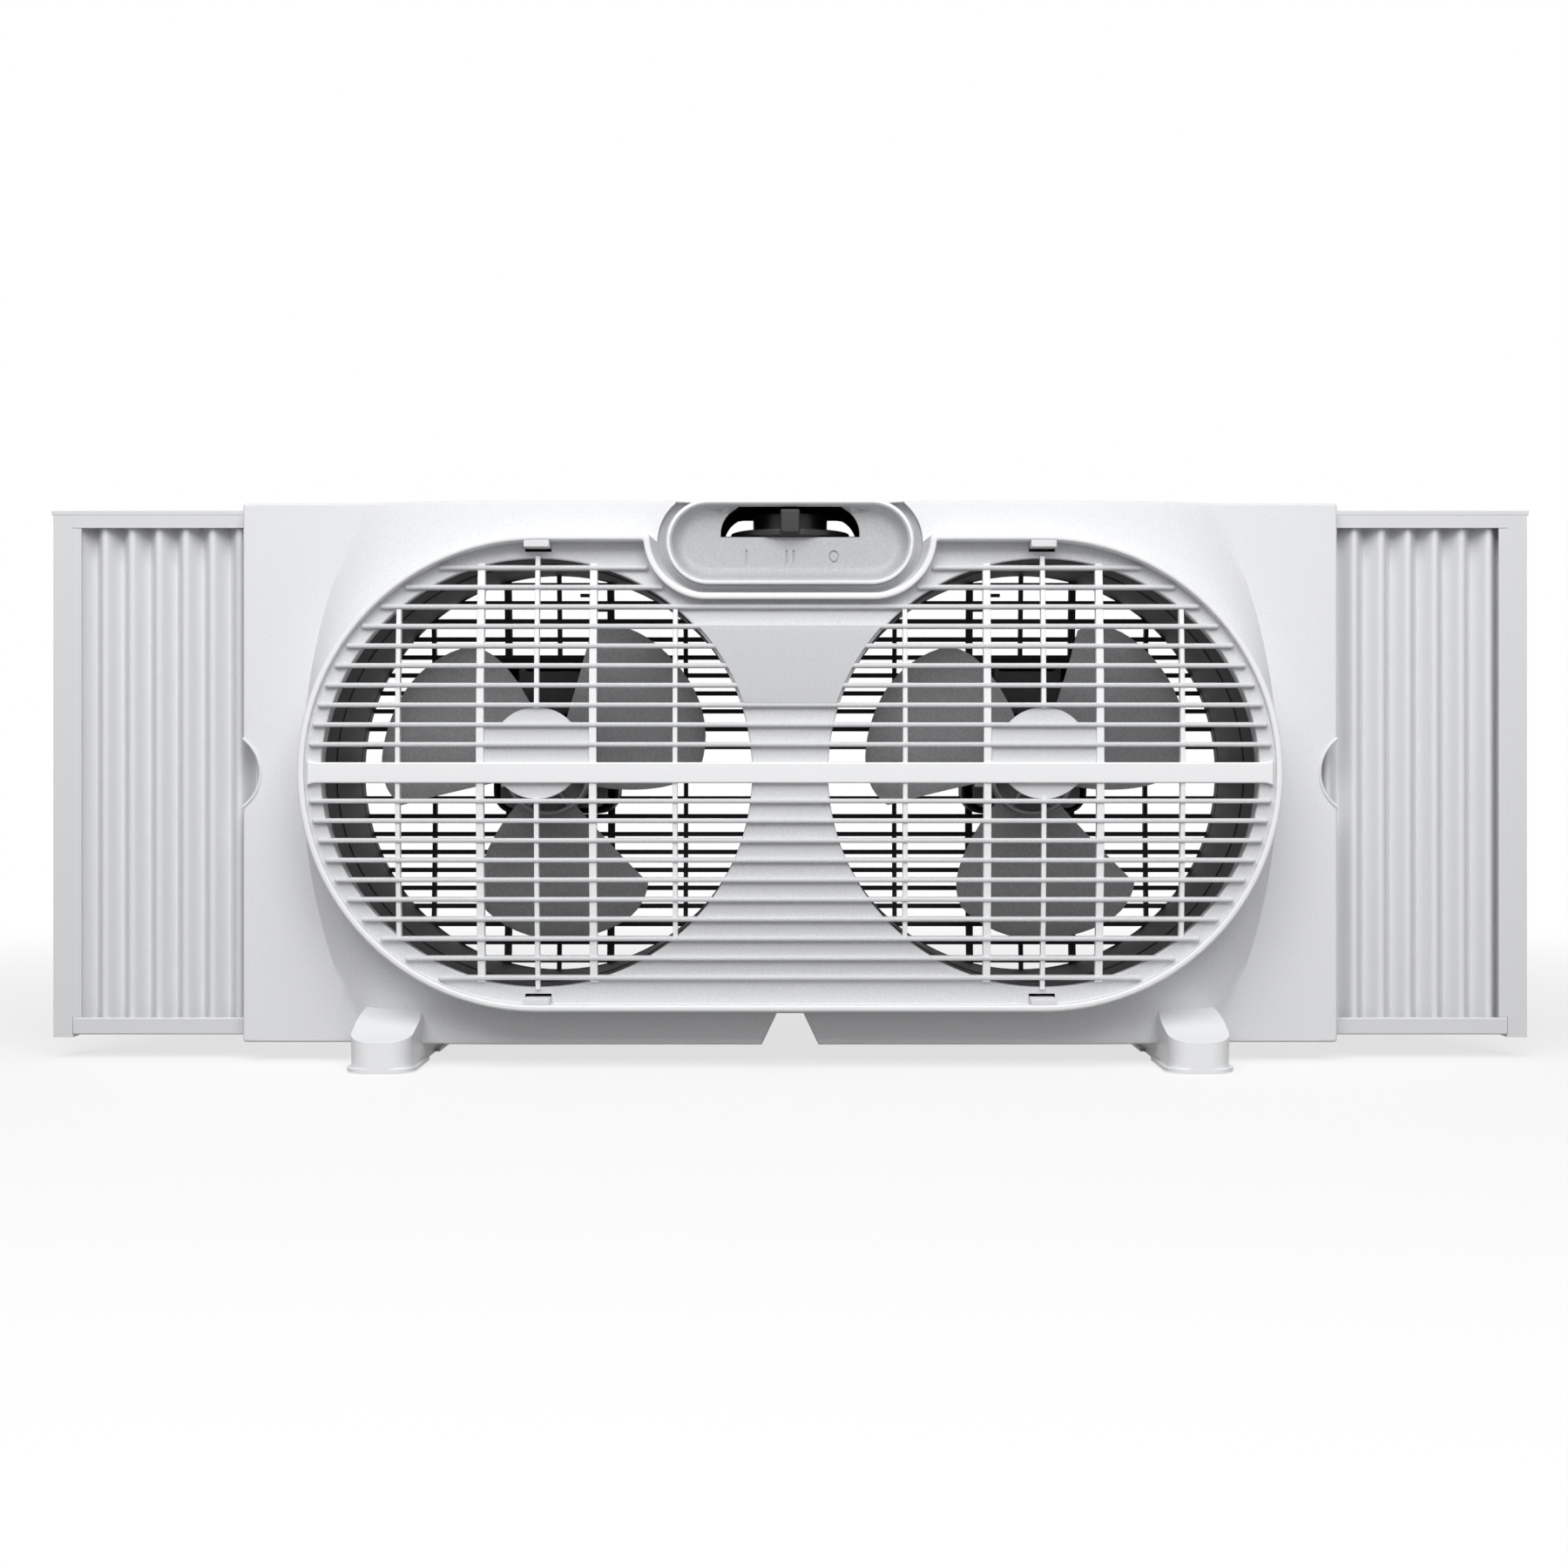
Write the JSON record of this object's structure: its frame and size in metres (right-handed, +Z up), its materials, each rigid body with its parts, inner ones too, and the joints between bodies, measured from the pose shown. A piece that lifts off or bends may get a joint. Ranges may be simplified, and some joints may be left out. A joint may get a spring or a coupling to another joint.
{
  "type": "window fan",
  "caption": "Reversible twin window fan with pull-out pleated side screens, snap-in grilles, feet and a thumb-wheel control in a see-through slot.",
  "frame": {"origin": "on the resting surface, under the middle of the housing, midway between the feet and between the front and the rear", "axes": "+X to the right along the width, +Y from the white front to the dark rear, +Z up"},
  "size_m": [0.814, 0.14, 0.3052],
  "materials": {
    "white_plastic": "fine moulded grain, satin",
    "charcoal_plastic": "fine moulded grain, satin",
    "black_plastic": "satin",
    "blade_plastic": "semi-gloss",
    "curtain_vinyl": "soft vinyl, matte",
    "rubber": "matte",
    "steel": "zinc plated",
    "laminations": "stacked sheet, matt",
    "winding": "enamelled wire wrapped in black tape",
    "bronze": "sintered, oiled"
  },
  "bodies": {
    "housing": {"front_housing": "white_plastic", "front_grille": "white_plastic", "front_control_bezel": "white_plastic", "left_foot": "white_plastic", "right_foot": "white_plastic", "left_curtain_clamp": "white_plastic", "right_curtain_clamp": "white_plastic", "rear_housing": "charcoal_plastic", "rear_grille": "charcoal_plastic", "rear_control_bezel": "charcoal_plastic", "left_duct": "charcoal_plastic", "right_duct": "charcoal_plastic", "knob_tunnel": "black_plastic", "rotary_switch": "black_plastic", "left_curtain": "curtain_vinyl", "right_curtain": "curtain_vinyl", "foot_pads": "rubber", "cord_bush": "rubber", "housing_screws": "steel", "foot_screws": "steel", "motor_screws": "steel", "left_front_bracket": "steel", "right_front_bracket": "steel", "left_rear_bracket": "steel", "right_rear_bracket": "steel", "left_stator": "laminations", "right_stator": "laminations", "left_coil": "winding", "right_coil": "winding", "left_bearings": "bronze", "right_bearings": "bronze"},
    "left_fan": {"left_blade": "blade_plastic", "left_rotor": "laminations", "left_shaft": "steel", "left_hub_clip": "steel"},
    "right_fan": {"right_blade": "blade_plastic", "right_rotor": "laminations", "right_shaft": "steel", "right_hub_clip": "steel"},
    "knob": {"control_knob": "black_plastic", "switch_shaft": "steel"},
    "left_screen": {"left_top_rail": "white_plastic", "left_bottom_rail": "white_plastic", "left_stile": "white_plastic"},
    "right_screen": {"right_top_rail": "white_plastic", "right_bottom_rail": "white_plastic", "right_stile": "white_plastic"}
  },
  "joints": [
    {"name": "left_fan_spin", "type": "hinge", "parent": "housing", "child": "left_fan", "pos_m": [-0.1336, 0, 0.1577], "axis": [0, 1, 0], "continuous": true},
    {"name": "right_fan_spin", "type": "hinge", "parent": "housing", "child": "right_fan", "pos_m": [0.1336, 0, 0.1577], "axis": [0, 1, 0], "continuous": true},
    {"name": "knob_turn", "type": "hinge", "parent": "housing", "child": "knob", "pos_m": [0, 0, 0.2857], "axis": [0, 0, 1], "range_deg": [-45, 45]},
    {"name": "left_screen_slide", "type": "slide", "parent": "housing", "child": "left_screen", "axis": [1, 0, 0], "range_m": [0, 0.107], "deforming": ["left_curtain"]},
    {"name": "right_screen_slide", "type": "slide", "parent": "housing", "child": "right_screen", "axis": [-1, 0, 0], "range_m": [0, 0.107], "deforming": ["right_curtain"]}
  ]
}
